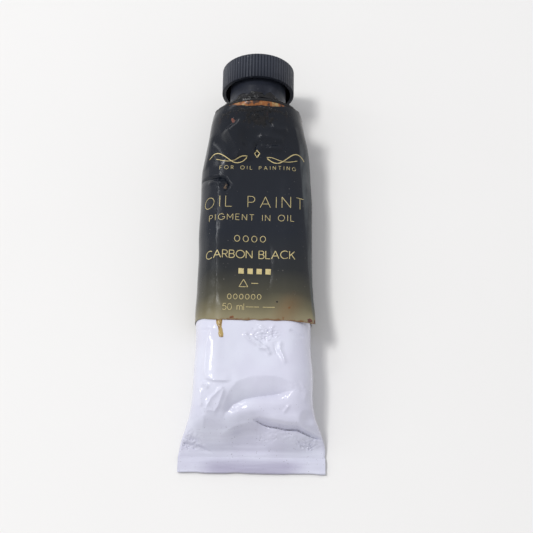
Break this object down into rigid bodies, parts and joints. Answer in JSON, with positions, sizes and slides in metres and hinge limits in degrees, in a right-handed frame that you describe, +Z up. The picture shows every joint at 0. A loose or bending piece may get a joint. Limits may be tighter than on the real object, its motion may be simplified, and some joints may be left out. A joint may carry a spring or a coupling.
{
  "type": "paint tube",
  "caption": "Used collapsible aluminium tube of artist's paint with a folded tail, a film label, a threaded nozzle and a ribbed double-walled screw cap.",
  "frame": {"origin": "middle of the footprint of the closed tube, on the surface it lies on", "axes": "+Y along the neck towards the cap, +Z up from the surface the tube lies on, +X to the right when the cap points away"},
  "size_m": [0.047, 0.1386, 0.0301],
  "materials": {
    "bare_aluminium": "drawn, stained by paint",
    "white_enamel": "glossy pale enamel over soft aluminium",
    "sealant": "matt",
    "label_film": "satin printed film, black fading to pale at the lower edge",
    "black_paint": "wet oil paint",
    "liner_pulp": "matt",
    "cap_plastic": "satin moulded plastic"
  },
  "bodies": {
    "tube": {"threaded_nozzle": "bare_aluminium", "tube_sleeve": "white_enamel", "folded_tail": "white_enamel", "tail_sealant": "sealant", "wrap_label": "label_film", "paint_charge": "black_paint"},
    "liner": {"cap_liner": "liner_pulp"},
    "cap": {"screw_cap": "cap_plastic", "cap_thread": "cap_plastic"}
  },
  "joints": [
    {"name": "cap_travel", "type": "slide", "parent": "tube", "child": "liner", "axis": [0, 1, 0], "range_m": [0, 0.015]},
    {"name": "cap_turn", "type": "hinge", "parent": "liner", "child": "cap", "pos_m": [0, 0.05355, 0.01508], "axis": [0, 1, 0], "range_deg": [0, 2160]}
  ],
  "couplings": [
    {"joint": "cap_travel", "follows": "cap_turn", "m_per_rad": 0.00039789}
  ]
}
